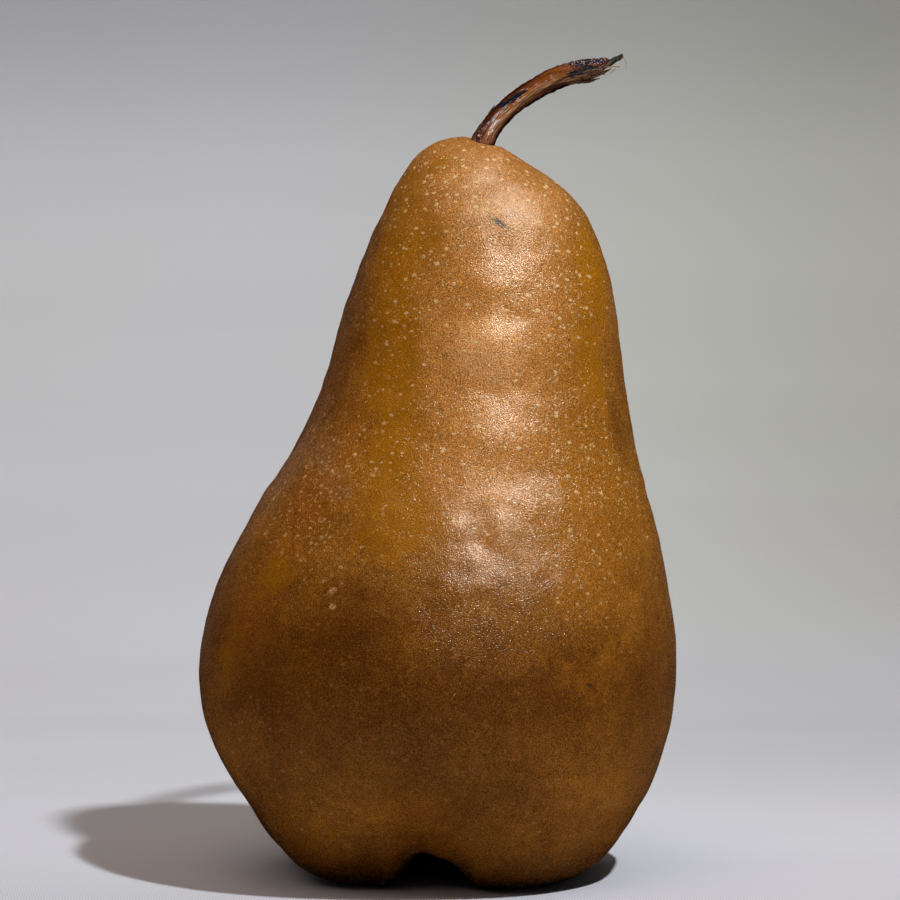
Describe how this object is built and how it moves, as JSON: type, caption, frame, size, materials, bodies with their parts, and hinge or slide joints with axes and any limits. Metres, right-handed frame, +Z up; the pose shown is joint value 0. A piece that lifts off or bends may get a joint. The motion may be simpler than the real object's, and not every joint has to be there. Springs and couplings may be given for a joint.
{
  "type": "pear",
  "caption": "Whole russet pear with a leaning neck, standing on the lobes round its eye, with a curved, woody, broken-off stem.",
  "frame": {"origin": "on the surface the pear stands on, under the middle of its box", "axes": "+Z up along the pear, +X towards the side the neck and stem lean to, -Y towards the front, where the base has its deep valley"},
  "size_m": [0.0692, 0.068, 0.1175],
  "materials": {
    "russet_skin": "satin russet skin with pale dots",
    "stem_bark": "glossy dried bark with black patches",
    "dried_calyx": "matt, dried and crumpled"
  },
  "bodies": {
    "root": {"fruit": "russet_skin", "stem": "stem_bark", "calyx": "dried_calyx"}
  },
  "joints": []
}
